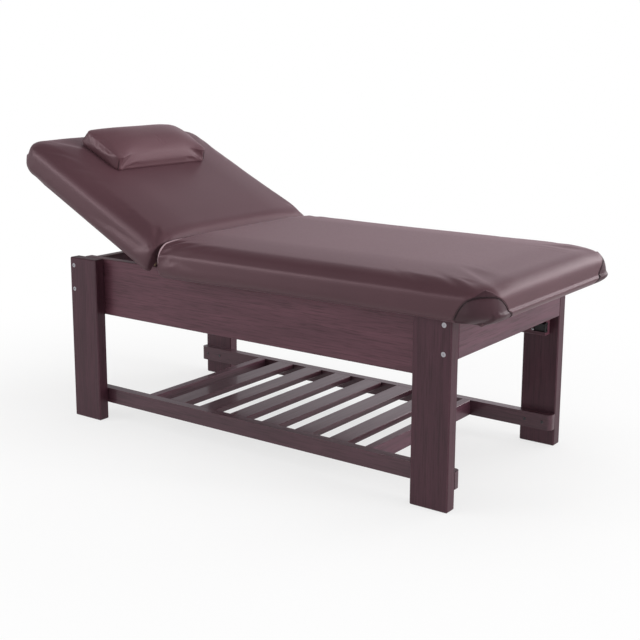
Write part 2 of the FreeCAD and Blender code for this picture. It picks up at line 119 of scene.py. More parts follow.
def placeNodes(tree, turned=False):
    # object coordinates, turned to lie flat for pieces of the raised backrest
    coordinates = addNode(tree, "ShaderNodeTexCoord", (-1300, 0))
    mapping = addNode(tree, "ShaderNodeMapping", (-1100, 0))
    if turned:
        mapping.inputs["Rotation"].default_value = (0, -restTurn, 0)
    link(tree, (coordinates, "Object", mapping, "Vector"))
    return mapping


def useGroup(tree, group, place):
    node = tree.nodes.new("ShaderNodeGroup")
    node.node_tree = group
    node.location = place
    return node


def mapRange(tree, place, fromLow, fromHigh, toLow, toHigh):
    node = addNode(tree, "ShaderNodeMapRange", place)
    setInputs(node, {"From Min": fromLow, "From Max": fromHigh, "To Min": toLow, "To Max": toHigh})
    return node


# Stained wood: slow figure, streaks, open pores and lacquer that shines unevenly, grain along X

woodFigure = {"figureScale": (1.6, 16, 16), "figureRange": (0.3, 0.72), "figureShare": 0.6,
              "streakScale": (2.5, 60, 60), "streakShare": 0.55,
              "poreScale": (9, 230, 230), "poreRange": (0.36, 0.52), "poreShade": (0.55, 0.5, 0.5, 1),
              "roughness": (0.34, 0.52)}


def makeStainedWood():
    group, inside, outside = newGroup(
        "stainedWood",
        [("Position", "NodeSocketVector", None), ("Dark", "NodeSocketColor", (0.03, 0.012, 0.018, 1)),
         ("Light", "NodeSocketColor", (0.08, 0.036, 0.05, 1)), ("Pore Depth", "NodeSocketFloat", 1.0)],
        [("Color", "NodeSocketColor"), ("Roughness", "NodeSocketFloat"), ("Height", "NodeSocketFloat")])
    broad = addNode(group, "ShaderNodeMapping", (-700, 200), Scale=woodFigure["figureScale"])
    figure = addNode(group, "ShaderNodeTexNoise", (-500, 200), Scale=1.0, Detail=5.0, Roughness=0.6,
                     Distortion=0.9)
    fine = addNode(group, "ShaderNodeMapping", (-700, -150), Scale=woodFigure["poreScale"])
    pores = addNode(group, "ShaderNodeTexNoise", (-500, -150), Scale=1.0, Detail=3.0, Roughness=0.7)
    poreMask = mapRange(group, (-300, -150), *woodFigure["poreRange"], 0, 1)
    streak = addNode(group, "ShaderNodeMapping", (-700, -400), Scale=woodFigure["streakScale"])
    streaks = addNode(group, "ShaderNodeTexNoise", (-500, -400), Scale=1.0, Detail=4.0, Roughness=0.65)
    spread = mapRange(group, (-300, 200), *woodFigure["figureRange"], 0, woodFigure["figureShare"])
    blend = addNode(group, "ShaderNodeMath", (-150, 100), operation="MULTIPLY_ADD")
    blend.inputs[1].default_value = woodFigure["streakShare"]
    tone = addNode(group, "ShaderNodeMix", (0, 200), data_type="RGBA")
    invert = addNode(group, "ShaderNodeMath", (0, -100), operation="SUBTRACT")
    invert.inputs[0].default_value = 1.0
    darken = addNode(group, "ShaderNodeMix", (200, 150), data_type="RGBA", blend_type="MULTIPLY")
    darken.inputs[7].default_value = woodFigure["poreShade"]
    rough = mapRange(group, (200, -150), 0.2, 0.8, *woodFigure["roughness"])
    high = addNode(group, "ShaderNodeMath", (200, -400), operation="MULTIPLY")
    link(group, (inside, "Position", broad, "Vector"), (inside, "Position", fine, "Vector"),
         (inside, "Position", streak, "Vector"), (broad, "Vector", figure, "Vector"),
         (fine, "Vector", pores, "Vector"), (streak, "Vector", streaks, "Vector"),
         (pores, "Fac", poreMask, "Value"), (figure, "Fac", spread, "Value"), (streaks, "Fac", blend, 0),
         (spread, "Result", blend, 2), (blend, 0, tone, 0), (inside, "Dark", tone, 6),
         (inside, "Light", tone, 7), (poreMask, "Result", invert, 1), (invert, 0, darken, 0),
         (tone, 2, darken, 6), (darken, 2, outside, "Color"), (streaks, "Fac", rough, "Value"),
         (rough, "Result", outside, "Roughness"), (poreMask, "Result", high, 0),
         (inside, "Pore Depth", high, 1), (high, 0, outside, "Height"))
    return group


# Lighter arrises: partly rubbed stain and partly a painted highlight where two faces meet, broken up by a
# noise

edgeWearHighlightForm = {"radius": 0.0022, "cosines": (0.995, 0.90), "spotScale": 38.0, "spotRange": (0.38, 0.66),
             "leastShare": 0.15}


def makeEdgeWearHighlight():
    group, inside, outside = newGroup(
        "edgeWearHighlight",
        [("Position", "NodeSocketVector", None), ("Color", "NodeSocketColor", (0.05, 0.025, 0.03, 1)),
         ("Worn Highlight", "NodeSocketColor", (0.2, 0.13, 0.13, 1)), ("Amount", "NodeSocketFloat", 0.5)],
        [("Color", "NodeSocketColor")])
    # the colour is lighter along every edge: wear together with a painted edge highlight
    around = addNode(group, "ShaderNodeBevel", (-700, 0), samples=4, Radius=edgeWearHighlightForm["radius"])
    face = addNode(group, "ShaderNodeNewGeometry", (-700, -200))
    turn = addNode(group, "ShaderNodeVectorMath", (-500, 0), operation="DOT_PRODUCT")
    edge = mapRange(group, (-300, 0), *edgeWearHighlightForm["cosines"], 0, 1)
    spots = addNode(group, "ShaderNodeTexNoise", (-500, -350), Scale=edgeWearHighlightForm["spotScale"], Detail=4.0,
                    Roughness=0.65)
    chance = mapRange(group, (-300, -350), *edgeWearHighlightForm["spotRange"], edgeWearHighlightForm["leastShare"], 1)
    wornHighlightMask = addNode(group, "ShaderNodeMath", (-100, -100), operation="MULTIPLY")
    share = addNode(group, "ShaderNodeMath", (100, -100), operation="MULTIPLY")
    mix = addNode(group, "ShaderNodeMix", (300, 100), data_type="RGBA")
    link(group, (around, "Normal", turn, 0), (face, "True Normal", turn, 1),
         (turn, "Value", edge, "Value"), (inside, "Position", spots, "Vector"),
         (spots, "Fac", chance, "Value"), (edge, "Result", wornHighlightMask, 0), (chance, "Result", wornHighlightMask, 1),
         (wornHighlightMask, 0, share, 0), (inside, "Amount", share, 1), (share, 0, mix, 0), (inside, "Color", mix, 6),
         (inside, "Worn Highlight", mix, 7), (mix, 2, outside, "Color"))
    return group


stainedWood = makeStainedWood()
edgeWearHighlight = makeEdgeWearHighlight()
grainTurns = {"x": (0, 0, 0), "y": (0, 0, math.radians(90)), "z": (0, math.radians(90), 0)}
walnut = {"dark": (0.026, 0.0085, 0.013, 1), "light": (0.078, 0.030, 0.043, 1),
          "wornHighlight": (0.17, 0.095, 0.11, 1), "amount": 0.5, "coat": 0.5, "gloss": 0.7,
          "shine": (1.0, 0.72, 0.80, 1)}
# lit and shaded copies of the walnut: the legs darker as painted shade, the aprons and the end rails and
# boards lighter as painted light
shadedLegWalnut = dict(walnut, dark=(0.023, 0.0065, 0.011, 1), light=(0.068, 0.022, 0.034, 1), coat=0.08)
litApronWalnut = dict(walnut, dark=(0.046, 0.0145, 0.022, 1), light=(0.128, 0.047, 0.066, 1), coat=0.15)
litEndWalnut = dict(walnut, dark=(0.040, 0.0145, 0.023, 1), light=(0.115, 0.046, 0.068, 1), coat=0.3)
innerTimber = {"dark": (0.035, 0.02, 0.02, 1), "light": (0.085, 0.052, 0.05, 1),
               "wornHighlight": (0.16, 0.11, 0.09, 1), "amount": 0.3, "coat": 0.0, "gloss": 0.3,
               "shine": (1.0, 0.9, 0.9, 1)}
plywood = {"dark": (0.30, 0.20, 0.12, 1), "light": (0.50, 0.37, 0.25, 1), "wornHighlight": (0.5, 0.38, 0.27, 1),
           "amount": 0.2, "coat": 0.0, "gloss": 0.3, "shine": (1.0, 1.0, 1.0, 1)}


def woodMaterial(name, finish, grain, offset, turned=False):
    material, tree, shader = newMaterial(name)
    place = placeNodes(tree, turned)
    shift = addNode(tree, "ShaderNodeMapping", (-900, 0), Rotation=grainTurns[grain],
                    Location=(offset * 1.7, offset * 0.9, offset * 2.3))
    figure = useGroup(tree, stainedWood, (-700, 0))
    setInputs(figure, {"Dark": finish["dark"], "Light": finish["light"]})
    # lighter arris colour: wear together with a painted edge highlight
    arris = useGroup(tree, edgeWearHighlight, (-400, 150))
    setInputs(arris, {"Worn Highlight": finish["wornHighlight"], "Amount": finish["amount"]})
    bump = addNode(tree, "ShaderNodeBump", (-250, -200), Strength=0.25, Distance=0.0003)
    link(tree, (place, "Vector", shift, "Vector"), (shift, "Vector", figure, "Position"),
         (place, "Vector", arris, "Position"), (figure, "Color", arris, "Color"),
         (arris, "Color", shader, "Base Color"), (figure, "Roughness", shader, "Roughness"),
         (figure, "Height", bump, "Height"), (bump, "Normal", shader, "Normal"))
    setInputs(shader, {"Coat Weight": finish["coat"], "Coat Roughness": 0.12, "IOR": 1.48,
                       "Specular IOR Level": finish["gloss"], "Specular Tint": finish["shine"]})
    return material


# Synthetic leather: pebble grain, soft creases and a slow change of tone

leatherGrain = {"warpScale": 90.0, "warp": (0.004, 0.004, 0.004), "creaseScale": 160.0, "creaseHeight": 0.5,
                "toneScale": 3.2, "tone": (0.92, 1.07), "valleyShade": (1.06, 0.84),
                "roughness": (0.36, 0.52)}
leatherGloss = {"Coat Roughness": 0.3, "Specular Tint": (1.0, 0.74, 0.80, 1), "Sheen Roughness": 0.35,
                "Sheen Tint": (1.0, 0.66, 0.74, 1), "IOR": 1.5}


def makeCoverGrain():
    group, inside, outside = newGroup(
        "coverGrain",
        [("Position", "NodeSocketVector", None), ("Tint", "NodeSocketColor", (0.1, 0.05, 0.06, 1)),
         ("Grain Size", "NodeSocketFloat", 620.0)],
        [("Color", "NodeSocketColor"), ("Roughness", "NodeSocketFloat"), ("Height", "NodeSocketFloat")])
    warp = addNode(group, "ShaderNodeTexNoise", (-800, -250), Scale=leatherGrain["warpScale"], Detail=2.0)
    moved = addNode(group, "ShaderNodeVectorMath", (-700, -100), operation="MULTIPLY_ADD")
    moved.inputs[1].default_value = leatherGrain["warp"]
    cells = addNode(group, "ShaderNodeTexVoronoi", (-550, 0), feature="SMOOTH_F1", Smoothness=0.6)
    creases = addNode(group, "ShaderNodeTexNoise", (-600, -400), Scale=leatherGrain["creaseScale"],
                      Detail=6.0, Roughness=0.7)
    slow = addNode(group, "ShaderNodeTexNoise", (-600, 300), Scale=leatherGrain["toneScale"], Detail=3.0)
    tone = mapRange(group, (-400, 300), 0.3, 0.7, *leatherGrain["tone"])
    valley = mapRange(group, (-350, 50), 0, 0.9, *leatherGrain["valleyShade"])
    both = addNode(group, "ShaderNodeMath", (-150, 150), operation="MULTIPLY")
    shade = addNode(group, "ShaderNodeVectorMath", (0, 200), operation="SCALE")
    rough = mapRange(group, (0, -100), 0, 1, *leatherGrain["roughness"])
    invert = addNode(group, "ShaderNodeMath", (-200, -500), operation="SUBTRACT")
    invert.inputs[0].default_value = 1.0
    height = addNode(group, "ShaderNodeMath", (0, -350), operation="MULTIPLY_ADD")
    height.inputs[1].default_value = leatherGrain["creaseHeight"]
    link(group, (inside, "Position", warp, "Vector"), (warp, "Color", moved, 0),
         (inside, "Position", moved, 2), (moved, "Vector", cells, "Vector"),
         (inside, "Grain Size", cells, "Scale"), (inside, "Position", creases, "Vector"),
         (inside, "Position", slow, "Vector"), (slow, "Fac", tone, "Value"),
         (cells, "Distance", valley, "Value"), (tone, "Result", both, 0), (valley, "Result", both, 1),
         (inside, "Tint", shade, 0), (both, 0, shade, "Scale"), (shade, "Vector", outside, "Color"),
         (creases, "Fac", rough, "Value"), (rough, "Result", outside, "Roughness"),
         (cells, "Distance", invert, 1), (creases, "Fac", height, 0), (invert, 0, height, 2),
         (height, 0, outside, "Height"))
    return group


coverGrain = makeCoverGrain()


def coverMaterial(name, tint, coat=0.0, strength=0.22, gloss=0.6, sheen=0.12):
    material, tree, shader = newMaterial(name)
    place = placeNodes(tree)
    grain = useGroup(tree, coverGrain, (-450, 0))
    grain.inputs["Tint"].default_value = tint
    bump = addNode(tree, "ShaderNodeBump", (-200, -200), Strength=strength, Distance=0.0004)
    link(tree, (place, "Vector", grain, "Position"), (grain, "Color", shader, "Base Color"),
         (grain, "Roughness", shader, "Roughness"), (grain, "Height", bump, "Height"),
         (bump, "Normal", shader, "Normal"))
    setInputs(shader, leatherGloss)
    setInputs(shader, {"Coat Weight": coat, "Specular IOR Level": gloss, "Sheen Weight": sheen})
    return material


# Metal, plastic, tape and thread: a fine noise breaks up their gloss

def plainMaterial(name, tint, roughLow, roughHigh, size, metallic=0.0, bumpStrength=0.1):
    material, tree, shader = newMaterial(name)
    place = placeNodes(tree)
    noise = addNode(tree, "ShaderNodeTexNoise", (-600, 0), Scale=size, Detail=4.0, Roughness=0.6)
    rough = mapRange(tree, (-350, 0), 0.2, 0.8, roughLow, roughHigh)
    tone = addNode(tree, "ShaderNodeMix", (-250, 250), data_type="RGBA", blend_type="MULTIPLY")
    setInputs(tone, {6: tint, 7: (0.78, 0.78, 0.8, 1)})
    bump = addNode(tree, "ShaderNodeBump", (-200, -200), Strength=bumpStrength, Distance=0.0002)
    link(tree, (place, "Vector", noise, "Vector"), (noise, "Fac", rough, "Value"),
         (noise, "Fac", tone, 0), (tone, 2, shader, "Base Color"), (rough, "Result", shader, "Roughness"),
         (noise, "Fac", bump, "Height"), (bump, "Normal", shader, "Normal"))
    shader.inputs["Metallic"].default_value = metallic
    return material


brightZinc = plainMaterial("brightZinc", (0.62, 0.61, 0.64, 1), 0.22, 0.40, metallic=1.0, size=900.0)
blackSteel = plainMaterial("blackStaySteel", (0.035, 0.035, 0.037, 1), 0.35, 0.5, size=420.0)
blackPlastic = plainMaterial("blackKnobPlastic", (0.022, 0.022, 0.023, 1), 0.45, 0.62, size=700.0)
tapeWeave = plainMaterial("hingeTapeWeave", (0.07, 0.04, 0.045, 1), 0.7, 0.9, size=1500.0, bumpStrength=0.5)
darkScrew = plainMaterial("darkScrewSteel", (0.09, 0.085, 0.09, 1), 0.3, 0.5, metallic=0.8, size=900.0)
seamThread = plainMaterial("seamThread", (0.018, 0.010, 0.012, 1), 0.6, 0.8, size=2400.0, bumpStrength=0.6)
cushionCover = coverMaterial("cushionCover", (0.074, 0.032, 0.040, 1))
# darker tint and less sheen: painted shade on the sewn-in foot-corner panels
cornerShadeCover = coverMaterial("cornerShadeCover", (0.042, 0.019, 0.024, 1), gloss=0.45, sheen=0.08)
# lighter tint than the cushions: painted light for the brightly lit front of the pillow
litPillowCover = coverMaterial("litPillowCover", (0.094, 0.043, 0.052, 1))
# pale welt colour: a painted highlight along the cushion's edge at the break
weltHighlightCover = coverMaterial("weltHighlightCover", (0.44, 0.31, 0.34, 1), coat=0.2, strength=0.1)
print("materials made")


# The rigid pieces keep their CAD shape and get their finish

def dress(nodeName, material):
    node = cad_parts[nodeName]
    if node.data.materials:
        for number in range(len(node.data.materials)):
            node.data.materials[number] = material
    else:
        node.data.materials.append(material)


walnutPieces = {
    "leg_head_right": "z", "leg_head_left": "z", "leg_foot_right": "z", "leg_foot_left": "z",
    "end_rail_head": "y", "end_rail_foot": "y", "side_apron_right": "x", "side_apron_left": "x",
    "shelf_rail_right": "x", "shelf_rail_left": "x",
    "shelf_end_board_head": "y", "shelf_end_board_foot": "y",
    "shelf_slat_1": "y", "shelf_slat_2": "y", "shelf_slat_3": "y",
    "shelf_slat_4": "y", "shelf_slat_5": "y", "shelf_slat_6": "y",
}
innerPieces = {
    "frame_bar_1": ("y", False), "frame_bar_2": ("y", False), "frame_bar_3": ("y", False),
    "backrest_batten_right": ("x", True), "backrest_batten_left": ("x", True),
    "backrest_brace_hinge": ("y", True), "backrest_brace_head": ("y", True),
}
boardPieces = {"body_board": False, "backrest_board": True}
metalPieces = {
    "leg_bolts": brightZinc, "stay_pivots": brightZinc, "stay_studs": brightZinc,
    "stay_right": blackSteel, "stay_left": blackSteel,
    "stay_knob_right": blackPlastic, "stay_knob_left": blackPlastic,
    "hinge_tape_fixed": tapeWeave, "hinge_tape_moving": tapeWeave,
}
# these copies paint light and shade: darker legs, lighter aprons and end pieces
walnutLitShadedCopies = {"leg": shadedLegWalnut, "side": litApronWalnut, "end": litEndWalnut}  # by a word of the node's name
for number, (nodeName, grain) in enumerate(walnutPieces.items()):
    word = "end" if "_end_" in nodeName else nodeName.split("_")[0]
    finish = walnutLitShadedCopies.get(word, walnut)
    dress(nodeName, woodMaterial("walnut_" + nodeName, finish, grain, 0.37 * number))
for number, (nodeName, (grain, turned)) in enumerate(innerPieces.items()):
    dress(nodeName, woodMaterial("timber_" + nodeName, innerTimber, grain, 5 + number, turned))
for number, (nodeName, turned) in enumerate(boardPieces.items()):
    dress(nodeName, woodMaterial("ply_" + nodeName, plywood, "x", 13 + number, turned))
for nodeName, material in metalPieces.items():
    dress(nodeName, material)
print("rigid pieces dressed")


# Mesh helpers

def evaluatedMesh(thing):
    graph = bpy.context.evaluated_depsgraph_get()
    return bpy.data.meshes.new_from_object(thing.evaluated_get(graph))


def pointsOf(mesh):
    flat = np.empty(len(mesh.vertices) * 3)
    mesh.vertices.foreach_get("co", flat)
    return flat.reshape(-1, 3)


def normalsOf(mesh):
    flat = np.empty(len(mesh.vertices) * 3)
    mesh.vertices.foreach_get("normal", flat)
    return flat.reshape(-1, 3)


def setPoints(mesh, points):
    mesh.vertices.foreach_set("co", points.reshape(-1))
    mesh.update()


def replaceMesh(thing, mesh):
    old = thing.data
    thing.modifiers.clear()
    thing.data = mesh
    bpy.data.meshes.remove(old)


def smoothStep(value, low, high):
    share = np.clip((value - low) / (high - low), 0, 1)
    return share * share * (3 - 2 * share)


def evenLine(dense, spacing):
    dense = np.array([list(place) for place in dense])
    steps = np.linalg.norm(np.diff(dense, axis=0), axis=1)
    along = np.concatenate([[0], np.cumsum(steps)])
    count = max(2, int(round(along[-1] / spacing)) + 1)
    wanted = np.linspace(0, along[-1], count)
    return np.stack([np.interp(wanted, along, dense[:, axis]) for axis in range(3)], axis=1)


def smoothLine(corners, spacing):
    # a smooth curve through all the corners, in even steps
    corners = [Vector(corner) for corner in corners]
    ends = [2 * corners[0] - corners[1]] + corners + [2 * corners[-1] - corners[-2]]
    dense = []
    steps = 24
    for number in range(1, len(ends) - 2):
        before, start, finish, after = ends[number - 1:number + 3]
        for step in range(steps):
            t = step / steps
            dense.append(0.5 * (2 * start + (finish - before) * t
                                + (2 * before - 5 * start + 4 * finish - after) * t ** 2
                                + (3 * start - before - 3 * finish + after) * t ** 3))
    dense.append(corners[-1])
    return evenLine(dense, spacing)


def skinTree(mesh):
    return BVHTree.FromPolygons([vertex.co for vertex in mesh.vertices],
                                [polygon.vertices[:] for polygon in mesh.polygons])


def onSkin(tree, line):
    # the nearest places on a skin, with the normals there
    places, normals = [], []
    for place in line:
        near, normal, polygon, distance = tree.find_nearest(Vector(place))
        places.append(near)
        normals.append(normal)
    return np.array([list(place) for place in places]), np.array([list(normal) for normal in normals])


def addBox(build, *sides):
    # an upright box, with the places of its two faces on X, on Y and on Z
    for vertex in bmesh.ops.create_cube(build, size=1.0)["verts"]:
        vertex.co = Vector([side[1] if at > 0 else side[0] for at, side in zip(vertex.co, sides)])


def addTube(build, line, normals, radii, sides):
    # a closed tube along a line, its ends drawn together
    rings = []
    for number, place in enumerate(line):
        ahead = line[min(number + 1, len(line) - 1)] - line[max(number - 1, 0)]
        ahead = ahead / np.linalg.norm(ahead)
        across = np.cross(ahead, normals[number])
        across = across / np.linalg.norm(across)
        up = np.cross(across, ahead)
        ring = []
        for step in range(sides):
            angle = 2 * math.pi * step / sides
            offset = radii[number] * (math.cos(angle) * across + math.sin(angle) * up)
            ring.append(build.verts.new(place + offset))
        rings.append(ring)
    for ringA, ringB in zip(rings, rings[1:]):
        for step in range(sides):
            after = (step + 1) % sides
            build.faces.new((ringA[step], ringA[after], ringB[after], ringB[step]))
    build.faces.new(list(reversed(rings[0])))
    build.faces.new(rings[-1])


def newPiece(name, build, material, body):
    bmesh.ops.recalc_face_normals(build, faces=build.faces)
    mesh = bpy.data.meshes.new(name)
    build.to_mesh(mesh)
    build.free()
    mesh.materials.append(material)
    for polygon in mesh.polygons:
        polygon.use_smooth = True
    piece = bpy.data.objects.new(name, mesh)
    scene.collection.objects.link(piece)
    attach(piece, body)
    return piece


def addStitches(build, line, normals, stitch):
    # short arched threads one after another along a seam
    spacing = np.linalg.norm(line[1] - line[0])
    stride = int(round(stitch["pitch"] / spacing))
    reach = int(round(stitch["length"] / spacing))
    for start in range(0, len(line) - reach, stride):
        part = line[start:start + reach + 1]
        out = normals[start:start + reach + 1]
        share = np.linspace(0, 1, len(part))
        rise = stitch["rise"] * np.sin(np.pi * share) - stitch["sink"]
        radii = stitch["radius"] * (0.55 + 0.45 * np.sin(np.pi * share))
        addTube(build, part + out * rise[:, None], out, radii, 6)


# Soft pieces: a skin taken over the pad, blown up a little by cloth pressure

clothRun = {"frames": 20, "quality": 4, "stretch": 25, "bend": 2}
# what the cushions' skins are held by: the board inside the rim, and the end at the break
heldZone = {"pastPocket": 0.004, "below": 0.570, "fromBreak": 0.007, "underTop": 0.006}
# the rim under the pocket keeps its place while the corners above it are rounded
cornerForm = {"z": (0.572, 0.600), "pocketRadius": 0.0435, "stillAbove": 0.02}
crownForm = {"sides": (0.20, 0.37), "z": (0.600, 0.640), "end": (-0.12, -0.02), "atBreak": (0.0, 0.05),
             "nearBreak": (0.10, 0.35)}


def flatCopy(pad):
    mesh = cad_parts[pad["node"]].data.copy()
    if pad["raised"]:
        mesh.transform(turnFlat)
    return mesh


def skinOver(pad, mesh):
    # a fine even mesh over a pad that lies flat, with its steps and edges smoothed
    skin = bpy.data.objects.new(pad["name"], mesh)
    scene.collection.objects.link(skin)
    remesh = skin.modifiers.new("even", "REMESH")
    remesh.mode = "VOXEL"
    remesh.voxel_size = pad["voxel"]
    smooth = skin.modifiers.new("soft", "SMOOTH")
    smooth.factor = 0.5
    smooth.iterations = pad["rounds"]
    replaceMesh(skin, evaluatedMesh(skin))
    return skin


def inflate(skin, pad, held):
    # cloth pressure on the skin, with the held points fixed and every move kept under a cap
    mesh = skin.data
    start = pointsOf(mesh)
    free = ~held(start)
    small = start - normalsOf(mesh) * pad["shrink"] * free[:, None]
    setPoints(mesh, small)
    group = skin.vertex_groups.new(name="held")
    group.add([int(number) for number in np.nonzero(~free)[0]], 1.0, "REPLACE")
    cloth = skin.modifiers.new("puff", "CLOTH")
    cloth.settings.quality = clothRun["quality"]
    cloth.settings.use_pressure = True
    cloth.settings.uniform_pressure_force = pad["pressure"]
    cloth.settings.vertex_group_mass = "held"
    cloth.settings.effector_weights.gravity = 0
    cloth.settings.tension_stiffness = clothRun["stretch"]
    cloth.settings.compression_stiffness = clothRun["stretch"]
    cloth.settings.bending_stiffness = clothRun["bend"]
    cloth.point_cache.frame_start = 1
    cloth.point_cache.frame_end = clothRun["frames"]
    for number in range(1, clothRun["frames"] + 1):
        scene.frame_set(number)
    blown = evaluatedMesh(skin)
    moved = pointsOf(blown) - small
    size = np.linalg.norm(moved, axis=1)
    keep = np.minimum(1, pad["cap"] / np.maximum(size, 1e-9))
    bpy.data.meshes.remove(blown)
    skin.modifiers.clear()
    skin.vertex_groups.clear()
    scene.frame_set(1)
    setPoints(mesh, small + moved * keep[:, None])
    print(skin.name, "moved at most", round(float(size.max()) * 1000, 1), "mm, kept under",
          pad["cap"] * 1000)


def divideSkin(skin):
    divide = skin.modifiers.new("fine", "SUBSURF")
    divide.levels = 1
    replaceMesh(skin, evaluatedMesh(skin))


def refineNear(mesh, line, reach):
    # one more division of the faces along a seam
    build = bmesh.new()
    build.from_mesh(mesh)
    build.verts.ensure_lookup_table()
    near = distanceTo(pointsOf(mesh), line, reach) < reach
    edges = [edge for edge in build.edges if near[edge.verts[0].index] and near[edge.verts[1].index]]
    bmesh.ops.subdivide_edges(build, edges=edges, cuts=1, use_grid_fill=True)
    bmesh.ops.triangulate(build, faces=[face for face in build.faces if len(face.verts) > 4])
    build.to_mesh(mesh)
    build.free()


def distanceTo(points, line, reach):
    # distance from each point to a line in fine steps, only worked out close to it
    distance = np.full(len(points), 1.0)
    low, high = line.min(0) - 4 * reach, line.max(0) + 4 * reach
    close = np.nonzero(np.all((points > low) & (points < high), axis=1))[0]
    for first in range(0, len(close), 4000):
        some = close[first:first + 4000]
        gaps = points[some][:, None, :] - line[None, :, :]
        distance[some] = np.sqrt((gaps ** 2).sum(2).min(1))
    return distance


def sinkAlong(mesh, line, width, depth):
    # a soft groove pressed into the skin along a line
    points = pointsOf(mesh)
    distance = distanceTo(points, line, width)
    sink = depth * np.exp(-(distance / width) ** 2)
    setPoints(mesh, points - normalsOf(mesh) * sink[:, None])


def finishSkin(skin, pad, material):
    if pad["raised"]:
        skin.data.transform(turnUp)
    skin.data.materials.clear()
    skin.data.materials.append(material)
    for polygon in skin.data.polygons:
        polygon.use_smooth = True
    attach(skin, pad["body"])
    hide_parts(pad["node"])


def heldUnderCushion(points):
    inPocket = np.abs(points[:, 1]) < pocketHalfWidth + heldZone["pastPocket"]
    inPocket &= points[:, 2] < heldZone["below"]
    nearBreak = np.abs(points[:, 0] - breakX) < heldZone["fromBreak"]
    nearBreak &= points[:, 2] < cushionTop - heldZone["underTop"]
    return inPocket | nearBreak


def heldUnderPillow(points):
    return points[:, 2] < points[:, 2].min() + 0.001


def roundEndCorners(skin, pad):
    # draws the end's two corners in to a larger radius in plan, and leaves the board's pocket as it is
    corner = pad["endCorner"]
    radius, before, way = corner["radius"], corner["before"], corner["way"]
    points = pointsOf(skin.data)
    offset = radius - before
    wide = smoothStep(points[:, 2], *cornerForm["z"])
    inPocket = math.sqrt(2) * offset + before - cornerForm["pocketRadius"]
    still = inPocket * (1 - wide) + cornerForm["stillAbove"] * wide
    for side in (-1, 1):
        outX = (points[:, 0] - (corner["endX"] - way * radius)) * way
        outY = side * points[:, 1] - (corner["halfWidth"] - radius)
        chosen = np.nonzero((outX > 1e-5) & (outY > 1e-5))[0]
        x, y = outX[chosen], outY[chosen]
        reach = np.hypot(x, y)
        x, y = x / reach, y / reach
        middle = (x + y) * offset
        onArc = middle + np.sqrt(middle ** 2 - 2 * offset ** 2 + before ** 2)
        straight = np.minimum(radius / x, radius / y)
        edge = np.where((onArc * x > offset) & (onArc * y > offset), onArc, straight)
        share = smoothStep(reach, still[chosen], edge)
        wanted = reach * (1 + (radius / edge - 1) * share)
        points[chosen, 0] = corner["endX"] - way * radius + way * x * wanted
        points[chosen, 1] = side * (corner["halfWidth"] - radius + y * wanted)
    setPoints(skin.data, points)


def domeTop(skin, pad):
    # the top falls a little towards both long sides and the end, and stands fuller near the break
    points = pointsOf(skin.data)
    end = pad["endCorner"]
    fromBreak = np.abs(points[:, 0] - breakX)
    out = smoothStep(np.abs(points[:, 1]), *crownForm["sides"])
    high = smoothStep(points[:, 2], *crownForm["z"])
    awayFromBreak = smoothStep(fromBreak, *crownForm["atBreak"])
    atEnd = smoothStep((points[:, 0] - end["endX"]) * end["way"], *crownForm["end"])
    nearBreak = 1 - smoothStep(fromBreak, *crownForm["nearBreak"])
    rise = pad["crownRise"] - (pad["sideDrop"] + pad["crownRise"]) * out
    rise += pad["breakRise"] * nearBreak - pad["endDrop"] * atEnd
    points[:, 2] += rise * high * awayFromBreak
    setPoints(skin.data, points)


def pressSideCreases(skin, pad):
    # the soft valley under the top edge of both long sides
    crease = pad["crease"]
    for side in (-1, 1):
        start = (crease["from"], side * crease["y"], crease["height"])
        finish = (crease["to"], side * crease["y"], crease["heightAtEnd"])
        sinkAlong(skin.data, smoothLine([start, finish], 0.004), crease["width"], crease["depth"])


# Body cushion, with a sewn-in panel at each foot corner

cushionPad = {"slot": "cushion_cover", "voxel": 0.008, "shrink": 0.003, "pressure": 4.0, "cap": 0.006,
              "fill": 0.95}
cushionEnd = {"halfWidth": 0.41, "before": 0.082}  # radius of the solid's corners, before they are rounded
bodyPad = dict(
    cushionPad, node="body_cushion", name="bodyCushionCover", body="frame", raised=False, rounds=6,
    sideDrop=0.001, crownRise=0.005, endDrop=0.0, breakRise=0.001,
    endCorner=dict(cushionEnd, endX=footX, way=1, radius=0.084),
    crease={"from": breakX + 0.02, "to": footX - 0.105, "y": 0.398, "height": 0.626,
            "heightAtEnd": 0.628, "width": 0.013, "depth": 0.0020})
footLift = {"height": 0.010, "x": (footX - 0.11, footX - 0.02), "z": (0.535, 0.585),
            "rimX": footX - 0.046, "rimY": pocketHalfWidth + 0.002}
cornerSeam = {"corners": [(0.752, 0.404, 0.540), (0.760, 0.406, 0.560), (0.773, 0.405, 0.584),
                          (0.794, 0.402, 0.606), (0.822, 0.398, 0.623), (0.848, 0.386, 0.632),
                          (0.863, 0.358, 0.625), (0.867, 0.331, 0.606), (0.868, 0.305, 0.584),
                          (0.868, 0.284, 0.556), (0.862, 0.280, 0.540)],
              "width": 0.0026, "depth": 0.0022, "threadRadius": 0.0009, "threadSink": 0.0011,
              "stitch": {"pitch": 0.006, "length": 0.0044, "radius": 0.00055, "rise": 0.0008,
                         "sink": 0.0002},
              "stitchOffset": 0.0034, "stitchSpacing": 0.0011}
# the panel's heights are the seam's, along the cushion's edge from where the corner's curve begins
cornerPanel = {"middle": (footX - 0.082, 0.328), "radius": 0.082, "before": 0.04, "bulge": 0.006,
               "bulgeZ": (0.545, 0.575), "bulgeReach": 0.040,
               "pocketX": footX - 0.044, "pocketY": pocketHalfWidth + 0.004,
               "along": (-0.033, -0.025, -0.012, 0.009, 0.040, 0.068, 0.098, 0.126, 0.152, 0.173, 0.177),
               "heights": (0.540, 0.560, 0.584, 0.606, 0.623, 0.632, 0.625, 0.607, 0.584, 0.556, 0.540)}


